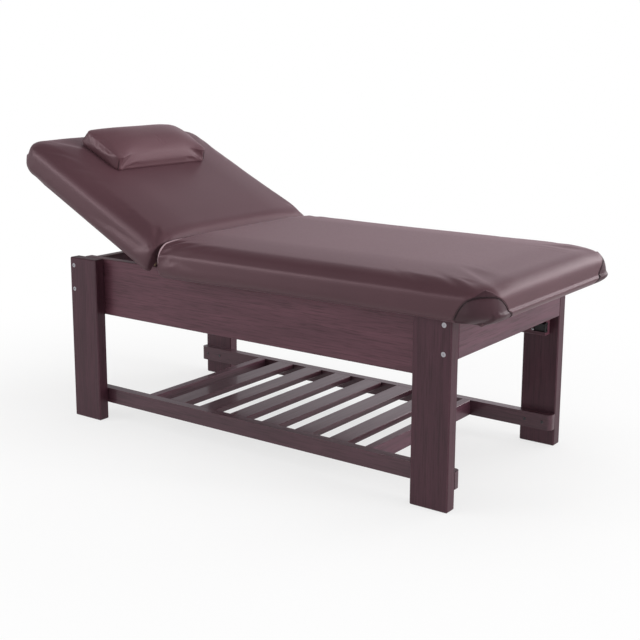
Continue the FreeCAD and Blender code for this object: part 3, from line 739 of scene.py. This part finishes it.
def liftFootEnd(skin):
    # the foot end is rounder underneath than the sides
    points = pointsOf(skin.data)
    atFoot = smoothStep(points[:, 0], *footLift["x"])
    low = 1 - smoothStep(points[:, 2], *footLift["z"])
    outside = (points[:, 0] > footLift["rimX"]) | (np.abs(points[:, 1]) > footLift["rimY"])
    points[:, 2] += footLift["height"] * atFoot * low * outside
    setPoints(skin.data, points)


def makeCornerSeam(skin, side):
    corners = [(middleX + x, side * y, z) for x, y, z in cornerSeam["corners"]]
    line, normals = onSkin(skinTree(skin.data), smoothLine(corners, 0.002))
    refineNear(skin.data, line, 0.012)
    sinkAlong(skin.data, line, cornerSeam["width"], cornerSeam["depth"])
    return line, normals


def underArch(place):
    # whether a place on the skin lies under the arch of a corner's seam
    x, y, z = place[0], abs(place[1]), place[2]
    centreX, centreY = cornerPanel["middle"]
    quarter = cornerPanel["radius"] * math.pi / 2
    if x < centreX - cornerPanel["before"] or (y < cornerPanel["pocketY"] and x < cornerPanel["pocketX"]):
        return False
    if x < centreX:
        along = x - centreX
    elif y < centreY:
        along = quarter + centreY - y
    else:
        along = cornerPanel["radius"] * math.atan2(x - centreX, y - centreY)
    if not cornerPanel["along"][0] < along < cornerPanel["along"][-1]:
        return False
    return z < np.interp(along, cornerPanel["along"], cornerPanel["heights"])


def bulgePanels(mesh, lines):
    # each panel stands out between its seam and the rim below
    points, normals = pointsOf(mesh), normalsOf(mesh)
    lowest, full = cornerPanel["bulgeZ"]
    inside = np.array([number for number, place in enumerate(points)
                       if underArch(place) and place[2] > lowest])
    chosen = points[inside]
    for line in lines:
        same = np.nonzero(np.sign(chosen[:, 1]) == np.sign(line[0, 1]))[0]
        gaps = np.linalg.norm(chosen[same][:, None, :] - line[None, ::3, :], axis=2).min(1)
        lift = cornerPanel["bulge"] * smoothStep(gaps, 0.0, cornerPanel["bulgeReach"])
        lift *= smoothStep(chosen[same][:, 2], lowest, full)
        points[inside[same]] += normals[inside[same]] * lift[:, None]
    setPoints(mesh, points)


def shadeCornerPanels(mesh):
    # the faces under the seam's arch take a darker cover, a painted shade for the panel's dark reflection
    mesh.materials.append(cornerShadeCover)
    for polygon in mesh.polygons:
        if underArch(polygon.center):
            polygon.material_index = 1


bodySkin = skinOver(bodyPad, flatCopy(bodyPad))
inflate(bodySkin, bodyPad, heldUnderCushion)
roundEndCorners(bodySkin, bodyPad)
domeTop(bodySkin, bodyPad)
liftFootEnd(bodySkin)
divideSkin(bodySkin)
pressSideCreases(bodySkin, bodyPad)
seams = [makeCornerSeam(bodySkin, side) for side in (-1, 1)]
bulgePanels(bodySkin.data, [line for line, normals in seams])
finishSkin(bodySkin, bodyPad, cushionCover)
shadeCornerPanels(bodySkin.data)
print("body cushion made,", len(bodySkin.data.vertices), "points")

threads = bmesh.new()
bodyTree = skinTree(bodySkin.data)
for line, normals in seams:
    sunk = line - normals * cornerSeam["threadSink"]
    addTube(threads, sunk, normals, [cornerSeam["threadRadius"]] * len(line), 8)
    inward = np.cross(normals[1:-1], line[2:] - line[:-2])
    inward = inward / np.linalg.norm(inward, axis=1)[:, None]
    for way in (-1, 1):
        beside = line[1:-1] + way * inward * cornerSeam["stitchOffset"]
        fineRow = evenLine(onSkin(bodyTree, beside)[0], cornerSeam["stitchSpacing"])
        addStitches(threads, *onSkin(bodyTree, fineRow), cornerSeam["stitch"])
newPiece("cornerPanelSeams", threads, seamThread, "frame")
print("corner seams sewn")


# Backrest cushion

backPad = dict(
    cushionPad, node="backrest_cushion", name="backrestCushionCover", body="backrest", raised=True,
    rounds=10, sideDrop=0.0, crownRise=0.004, endDrop=0.006, breakRise=0.005,
    endCorner=dict(cushionEnd, endX=breakX - 0.680, way=-1, radius=0.085),
    crease={"from": breakX - 0.02, "to": breakX - 0.60, "y": 0.400, "height": 0.618,
            "heightAtEnd": 0.618, "width": 0.009, "depth": 0.0006})
backSkin = skinOver(backPad, flatCopy(backPad))
inflate(backSkin, backPad, heldUnderCushion)
roundEndCorners(backSkin, backPad)
domeTop(backSkin, backPad)
divideSkin(backSkin)
pressSideCreases(backSkin, backPad)
finishSkin(backSkin, backPad, cushionCover)
print("backrest cushion made,", len(backSkin.data.vertices), "points")


# Pillow: a tight edge over its leaning front, round back corners, a domed top, a seam down each corner

pillowPad = {"node": "pillow", "name": "litPillowCover", "body": "head_pillow", "slot": "pillow_cover",
             "raised": True, "voxel": 0.004, "rounds": 2, "shrink": 0.003, "pressure": 4.0, "cap": 0.004,
             "fill": 0.85}
pillowForm = {"half": (0.106, 0.223), "frontRadius": 0.024, "backRadii": {-1: 0.034, 1: 0.080},
              "rise": 0.011, "wall": 0.054, "frontLean": 0.030, "backLean": 0.012, "underRound": 0.012,
              "raysAlong": 47, "raysRound": 60, "underSteps": 16, "wallSteps": 8, "domeSteps": 30}
pillowSeam = {"low": 0.010, "high": 0.042, "threadRadius": 0.0009, "threadSink": 0.0006,
              "width": 0.003, "depth": 0.0015}


def pillowRadius(atFront, side):
    return pillowForm["frontRadius"] if atFront else pillowForm["backRadii"][side]


def pillowEdge(start, direction):
    # how far the pillow's outline in plan lies from a place inside it
    near, far = 0.0, 0.4
    for halving in range(30):
        reach = (near + far) / 2
        x, y = start[0] + direction[0] * reach, start[1] + direction[1] * reach
        radius = pillowRadius(x > 0, 1 if y > 0 else -1)
        overX = abs(x) - (pillowForm["half"][0] - radius)
        overY = abs(y) - (pillowForm["half"][1] - radius)
        outside = math.hypot(max(overX, 0), max(overY, 0)) + min(max(overX, overY), 0) - radius
        near, far = (reach, far) if outside < 0 else (near, reach)
    return near


def pillowOutline():
    # rays from the pillow's long middle line, with the place where each meets the outline
    spine = pillowForm["half"][1] - pillowForm["half"][0]
    ys = np.linspace(-spine, spine, pillowForm["raysAlong"])
    angles = np.linspace(0, math.pi, pillowForm["raysRound"] + 2)[1:-1]
    rays = []
    for way in (1, -1):
        rays += [((0, way * y), (way, 0)) for y in ys]
        rays += [((0, way * spine), (way * math.cos(angle), way * math.sin(angle))) for angle in angles]
    return [(start, direction, pillowEdge(start, direction)) for start, direction in rays]


def pillowDome(x, y):
    # how much of the crown's height the top has at a place in plan
    front = pillowForm["half"][0] - pillowForm["frontLean"]
    back = pillowForm["half"][0] - pillowForm["backLean"]
    across = (2 * x - front + back) / (front + back)
    along = y / pillowForm["half"][1]
    return max(0, 1 - abs(across) ** 2.4) * max(0, 1 - abs(along) ** 4)


def makePillowForm(middle, base, height):
    # upright sections one beside another round the outline
    build = bmesh.new()
    columns = []
    under = pillowForm["underRound"]
    for start, direction, reach in pillowOutline():
        front = smoothStep(direction[0], 0.55, 0.95)
        back = smoothStep(-direction[0], 0.3, 0.9)
        wall = pillowForm["wall"]
        lean = front * pillowForm["frontLean"] + back * pillowForm["backLean"]
        top = 1 - lean / reach
        section = [(share, 0.0) for share in np.linspace(0, 1 - under / reach, pillowForm["underSteps"])]
        for angle in np.radians((20, 40, 60, 80)):
            section.append((1 - under * (1 - math.sin(angle)) / reach, under * (1 - math.cos(angle))))
        section += [(1 - lean / reach * rise, under + (wall - under) * rise)
                    for rise in np.linspace(0, 1, pillowForm["wallSteps"])]
        for angle in np.linspace(0, math.pi / 2, pillowForm["domeSteps"])[1:]:
            share = top * math.cos(angle)
            dome = pillowDome(*(start[axis] + direction[axis] * reach * share for axis in (0, 1)))
            section.append((share, wall + (height - wall) * dome))
        column = []
        for share, level in section:
            x = middle[0] + start[0] + direction[0] * reach * share
            y = middle[1] + start[1] + direction[1] * reach * share
            column.append(build.verts.new((x, y, base + level)))
        columns.append(column)
    for columnA, columnB in zip(columns, columns[1:] + columns[:1]):
        for number in range(len(columnA) - 1):
            build.faces.new((columnA[number], columnB[number], columnB[number + 1], columnA[number + 1]))
    bmesh.ops.remove_doubles(build, verts=build.verts, dist=1e-5)
    bmesh.ops.recalc_face_normals(build, faces=build.faces)
    mesh = bpy.data.meshes.new("pillowForm")
    build.to_mesh(mesh)
    build.free()
    return mesh


pillowFlat = pointsOf(flatCopy(pillowPad))
pillowLow, pillowHigh = pillowFlat.min(0), pillowFlat.max(0)
pillowMiddle = (pillowLow + pillowHigh) / 2
pillowHeight = pillowHigh[2] - pillowLow[2] + pillowForm["rise"]
pillowSkin = skinOver(pillowPad, makePillowForm(pillowMiddle, pillowLow[2], pillowHeight))
inflate(pillowSkin, pillowPad, heldUnderPillow)
divideSkin(pillowSkin)
pillowSeams = bmesh.new()
for wayX, wayY in ((1, -1), (1, 1), (-1, -1), (-1, 1)):
    radius = pillowRadius(wayX > 0, wayY)
    x = pillowMiddle[0] + wayX * (pillowForm["half"][0] - 0.3 * radius)
    y = pillowMiddle[1] + wayY * (pillowForm["half"][1] - 0.3 * radius)
    low, high = pillowLow[2] + pillowSeam["low"], pillowLow[2] + pillowSeam["high"]
    line, normals = onSkin(skinTree(pillowSkin.data), smoothLine([(x, y, low), (x, y, high)], 0.002))
    sinkAlong(pillowSkin.data, line, pillowSeam["width"], pillowSeam["depth"])
    addTube(pillowSeams, line - normals * pillowSeam["threadSink"], normals,
            [pillowSeam["threadRadius"]] * len(line), 8)
pillowSeams.transform(turnUp)
finishSkin(pillowSkin, pillowPad, litPillowCover)
newPiece("pillowCornerSeams", pillowSeams, seamThread, "head_pillow")
print("pillow made,", len(pillowSkin.data.vertices), "points")


# Covered welt along the break, down both ends of the body cushion's edge; its pale cover is a painted
# highlight along that edge

breakWelt = {"radius": 0.0029, "fromBreak": 0.009, "inside": 0.33, "middleZ": 0.600,
             "tapers": (0.598, 0.632)}


def makeBreakWelt():
    tree = skinTree(bodySkin.data)
    x, middleZ = breakX + breakWelt["fromBreak"], breakWelt["middleZ"]
    rim = []
    for angle in np.radians(np.arange(-12, 91, 3)):
        ray = Vector((0, math.cos(angle), math.sin(angle)))
        place, normal, polygon, distance = tree.ray_cast(Vector((x, breakWelt["inside"], middleZ)), ray)
        rim.append(place)
    middle = []
    for y in np.arange(breakWelt["inside"] - 0.01, 0, -0.01):
        place, normal, polygon, distance = tree.ray_cast(Vector((x, y, middleZ)), Vector((0, 0, 1)))
        middle.append(place)
    half = rim + middle
    other = [Vector((place.x, -place.y, place.z)) for place in reversed(half)]
    line = evenLine(half + other, 0.005)
    for smoothing in range(3):
        line[1:-1] = (line[:-2] + 2 * line[1:-1] + line[2:]) / 4
    centre = np.array([x, 0, middleZ])
    outward = line - centre
    outward[:, 0] = 0
    outward = outward / np.linalg.norm(outward, axis=1)[:, None]
    welt = bmesh.new()
    radii = breakWelt["radius"] * (0.3 + 0.7 * smoothStep(line[:, 2], *breakWelt["tapers"]))
    addTube(welt, line, outward, radii, 12)
    newPiece("breakWelt", welt, weltHighlightCover, "frame")


makeBreakWelt()

# The covers are folded over the boards' end edges at the break
boardFold = {"fromBreak": (0.0035, 0.0055), "z": (0.5512, 0.568), "half": 0.360, "edge": 0.0008}


def makeBoardFold(name, way, body):
    fold = bmesh.new()
    half = boardFold["half"]
    addBox(fold, [breakX + way * gap for gap in boardFold["fromBreak"]], (-half, half), boardFold["z"])
    bmesh.ops.bevel(fold, geom=fold.edges[:], offset=boardFold["edge"], segments=2, affect="EDGES",
                    profile=0.5)
    if way < 0:
        fold.transform(turnUp)
    newPiece(name, fold, cushionCover, body)


makeBoardFold("bodyBoardFold", 1, "frame")
makeBoardFold("backrestBoardFold", -1, "backrest")
print("break welt laid, covers folded over the boards' ends")


# Screws in the aprons and shelf rails, with cross recesses, and a cleat in each foot corner, black as a
# painted shade

apronScrew = {"radius": 0.005, "height": 0.0022, "x": 0.655, "z": 0.379}
shelfScrew = {"radius": 0.0048, "height": 0.0016, "xs": (0.640, 0.700), "z": 0.082}
screwHead = {"sides": 40, "recess": (0.12, 0.38),
             "profile": [(1.0, 0.0), (0.97, 0.35), (0.82, 0.75), (0.60, 0.95), (None, 1.0), (None, 0.25)]}
cornerCleat = {"x": (middleX + 0.668, middleX + 0.704), "z": (0.378, 0.404), "depth": 0.014, "edge": 0.003}


def addScrew(build, place, out, screw):
    # rings from the rim inwards; those without a share follow the cross recess
    turn = Vector((0, 0, 1)).rotation_difference(Vector(out)).to_matrix()
    sides = screwHead["sides"]
    hub, arm = screwHead["recess"]
    before = None
    for share, high in screwHead["profile"]:
        ring = []
        for step in range(sides):
            angle = 2 * math.pi * step / sides
            cross = hub + arm * abs(math.cos(2 * angle)) ** 6
            reach = screw["radius"] * (cross if share is None else share)
            local = Vector((reach * math.cos(angle), reach * math.sin(angle), screw["height"] * high))
            ring.append(build.verts.new(Vector(place) + turn @ local))
        if before:
            for step in range(sides):
                after = (step + 1) % sides
                build.faces.new((before[step], before[after], ring[after], ring[step]))
        else:
            build.faces.new(list(reversed(ring)))
        before = ring
    build.faces.new(before)


apronScrews = bmesh.new()
shelfScrews = bmesh.new()
for end in (-1, 1):
    for side in (-1, 1):
        inward = (0, -side, 0)
        place = (middleX + end * apronScrew["x"], side * innerFaceY, apronScrew["z"])
        addScrew(apronScrews, place, inward, apronScrew)
        for x in shelfScrew["xs"]:
            place = (middleX + end * x, side * innerFaceY, shelfScrew["z"])
            addScrew(shelfScrews, place, inward, shelfScrew)
newPiece("apronScrews", apronScrews, brightZinc, "frame")
newPiece("shelfRailScrews", shelfScrews, darkScrew, "frame")

# the cleats are black to paint the shade in the foot corners
cleats = bmesh.new()
for side in (-1, 1):
    ys = (side * innerFaceY, side * (innerFaceY - cornerCleat["depth"]))
    addBox(cleats, cornerCleat["x"], ys, cornerCleat["z"])
bmesh.ops.bevel(cleats, geom=cleats.edges[:], offset=cornerCleat["edge"], segments=3, affect="EDGES",
                profile=0.5)
newPiece("cornerCleatsShadeBlack", cleats, blackPlastic, "frame")
print("screws and cleats fitted")


# Floor, light and camera

studio = {
    "worldLevel": 0.50, "leftLevel": 0.35, "leftWall": (-0.72, -0.40), "overFloor": (0.0, 0.06),
    "floorReach": 12.0, "floorPaint": (0.93, 0.93, 0.93, 1), "floorGloss": 0.6,
    "shadowKept": 0.28, "shadowFade": (0.9, 2.2), "glossTint": (1.0, 0.93, 0.98, 1),
    "gloss": [(0.0, 0.62), (0.20, 0.78), (0.32, 1.2), (0.48, 1.15), (0.70, 0.15), (1.0, 0.12)],
    "overhead": {"place": (0.4, 0.3, 3.4), "target": (0, 0, 0.5), "size": (3.2, 3.2), "power": 40,
                 "glossy": False},
    "rightSoft": {"place": (10.5, 1.5, 2.3), "target": (0.0, 0, 0.7), "size": (4.2, 3.8), "power": 760,
                  "glossy": False},
    "backSoft": {"place": (2.3, 4.4, 1.9), "target": (0.4, 0, 0.6), "size": (3.0, 1.6), "power": 50,
                 "glossy": True},
    "leftSoft": {"place": (-3.0, -3.3, 2.0), "target": (0, -0.3, 0.5), "size": (2.8, 1.7), "power": 60,
                 "glossy": True},
}


def glossyOrSeen(tree):
    path = addNode(tree, "ShaderNodeLightPath", (-1100, -300))
    first = addNode(tree, "ShaderNodeMath", (-900, -300), operation="MAXIMUM")
    second = addNode(tree, "ShaderNodeMath", (-700, -300), operation="MAXIMUM")
    link(tree, (path, "Is Camera Ray", first, 0), (path, "Is Glossy Ray", first, 1),
         (first, 0, second, 0), (path, "Is Transmission Ray", second, 1))
    return path, second


def makeFloor():
    mesh = bpy.data.meshes.new("paleFloor")
    reach = studio["floorReach"]
    corners = [(-reach, -reach, 0), (reach, -reach, 0), (reach, reach, 0), (-reach, reach, 0)]
    mesh.from_pydata(corners, [], [(0, 1, 2, 3)])
    floor = bpy.data.objects.new("paleFloor", mesh)
    scene.collection.objects.link(floor)
    material, tree, shader = newMaterial("paleFloorPaint")
    setInputs(shader, {"Base Color": studio["floorPaint"], "Roughness": 0.9, "Specular IOR Level": 0.0})
    glow = addNode(tree, "ShaderNodeEmission", (0, -200))
    mix = addNode(tree, "ShaderNodeMixShader", (400, 0))
    coordinates = addNode(tree, "ShaderNodeTexCoord", (-1100, 100))
    length = addNode(tree, "ShaderNodeVectorMath", (-900, 100), operation="LENGTH")
    fade = mapRange(tree, (-700, 100), *studio["shadowFade"], 1 - studio["shadowKept"], 1)
    fade.interpolation_type = "SMOOTHSTEP"
    path, seen = glossyOrSeen(tree)
    share = addNode(tree, "ShaderNodeMath", (-300, 0), operation="MULTIPLY")
    level = mapRange(tree, (-300, -300), 0, 1, studio["floorGloss"], 1)
    surface = tree.nodes["Material Output"]
    link(tree, (path, "Is Camera Ray", level, "Value"), (level, "Result", glow, "Strength"),
         (coordinates, "Object", length, 0), (length, "Value", fade, "Value"), (fade, "Result", share, 0),
         (seen, 0, share, 1), (share, 0, mix, 0), (shader, 0, mix, 1), (glow, 0, mix, 2),
         (mix, 0, surface, "Surface"))
    mesh.materials.append(material)
    floor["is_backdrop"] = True


def makeWorld():
    # white backdrop; gloss sees it with a bright strip above it, a dark ceiling and a darker left wall
    world = bpy.data.worlds.new("paleStudio")
    scene.world = world
    world.use_nodes = True
    tree = world.node_tree
    background = tree.nodes["Background"]
    coordinates = addNode(tree, "ShaderNodeTexCoord", (-1100, 300))
    parts = addNode(tree, "ShaderNodeSeparateXYZ", (-900, 300))
    profile = addNode(tree, "ShaderNodeValToRGB", (-750, 400))
    stops = profile.color_ramp.elements
    while len(stops) < len(studio["gloss"]):
        stops.new(0.5)
    for stop, (height, level) in zip(stops, studio["gloss"]):
        stop.position = height
        stop.color = (level, level, level, 1)
    leftWall = mapRange(tree, (-700, 150), *studio["leftWall"], studio["leftLevel"], 1)
    aboveFloor = mapRange(tree, (-700, 0), *studio["overFloor"], 0, 1)
    wall = addNode(tree, "ShaderNodeMix", (-500, 150), data_type="FLOAT")
    wall.inputs[2].default_value = 1.0
    gloss = addNode(tree, "ShaderNodeMath", (-300, 300), operation="MULTIPLY")
    path, seen = glossyOrSeen(tree)
    notDiffuse = addNode(tree, "ShaderNodeMix", (-100, 100), data_type="FLOAT")
    notDiffuse.inputs[2].default_value = studio["worldLevel"]
    final = addNode(tree, "ShaderNodeMix", (100, 0), data_type="FLOAT")
    final.inputs[3].default_value = 1.0
    link(tree, (coordinates, "Generated", parts, "Vector"), (parts, "Z", profile, "Fac"),
         (parts, "X", leftWall, "Value"), (parts, "Z", aboveFloor, "Value"),
         (aboveFloor, "Result", wall, 0), (leftWall, "Result", wall, 3), (profile, "Color", gloss, 0),
         (wall, 0, gloss, 1), (seen, 0, notDiffuse, 0), (gloss, 0, notDiffuse, 3),
         (path, "Is Camera Ray", final, 0), (notDiffuse, 0, final, 2), (final, 0, background, "Strength"))
    colour = addNode(tree, "ShaderNodeMix", (-100, -200), data_type="RGBA")
    setInputs(colour, {6: (1, 1, 1, 1), 7: studio["glossTint"]})
    link(tree, (path, "Is Glossy Ray", colour, 0), (colour, 2, background, "Color"))


def areaLight(name):
    lamp = bpy.data.lights.new(name, "AREA")
    lamp.shape = "RECTANGLE"
    lamp.size, lamp.size_y = studio[name]["size"]
    lamp.energy = studio[name]["power"]
    thing = bpy.data.objects.new(name, lamp)
    scene.collection.objects.link(thing)
    thing.location = studio[name]["place"]
    direction = Vector(studio[name]["target"]) - Vector(studio[name]["place"])
    thing.rotation_mode = "QUATERNION"
    thing.rotation_quaternion = direction.to_track_quat("-Z", "Y")
    thing.visible_camera = False
    thing.visible_glossy = studio[name]["glossy"]


# the focal length is in pixels of a picture this wide
shot = {"place": (2.2020, -2.9408, 1.2343), "yaw": 35.855, "pitch": 11.420, "roll": 0.258,
        "focal": 1150.9, "width": 640, "sensor": 36, "shift": 0.06}


def makeCamera():
    data = bpy.data.cameras.new("photoCamera")
    camera = bpy.data.objects.new("photoCamera", data)
    scene.collection.objects.link(camera)
    scene.camera = camera
    data.sensor_width = shot["sensor"]
    data.lens = shot["sensor"] * shot["focal"] / shot["width"]
    data.shift_y = -shot["shift"]
    yaw, pitch = math.radians(shot["yaw"]), math.radians(shot["pitch"])
    level = math.cos(pitch)
    forward = Vector((-math.sin(yaw) * level, math.cos(yaw) * level, -math.sin(pitch)))
    roll = Matrix.Rotation(math.radians(shot["roll"]), 4, "Z")
    turn = forward.to_track_quat("-Z", "Y").to_matrix().to_4x4() @ roll
    camera.matrix_world = Matrix.Translation(shot["place"]) @ turn
    data.clip_end = 60


makeFloor()
makeWorld()
for name in ("overhead", "rightSoft", "backSoft", "leftSoft"):
    areaLight(name)
makeCamera()
scene.view_settings.view_transform = "Standard"
print("floor, light and camera made")

low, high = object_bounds()
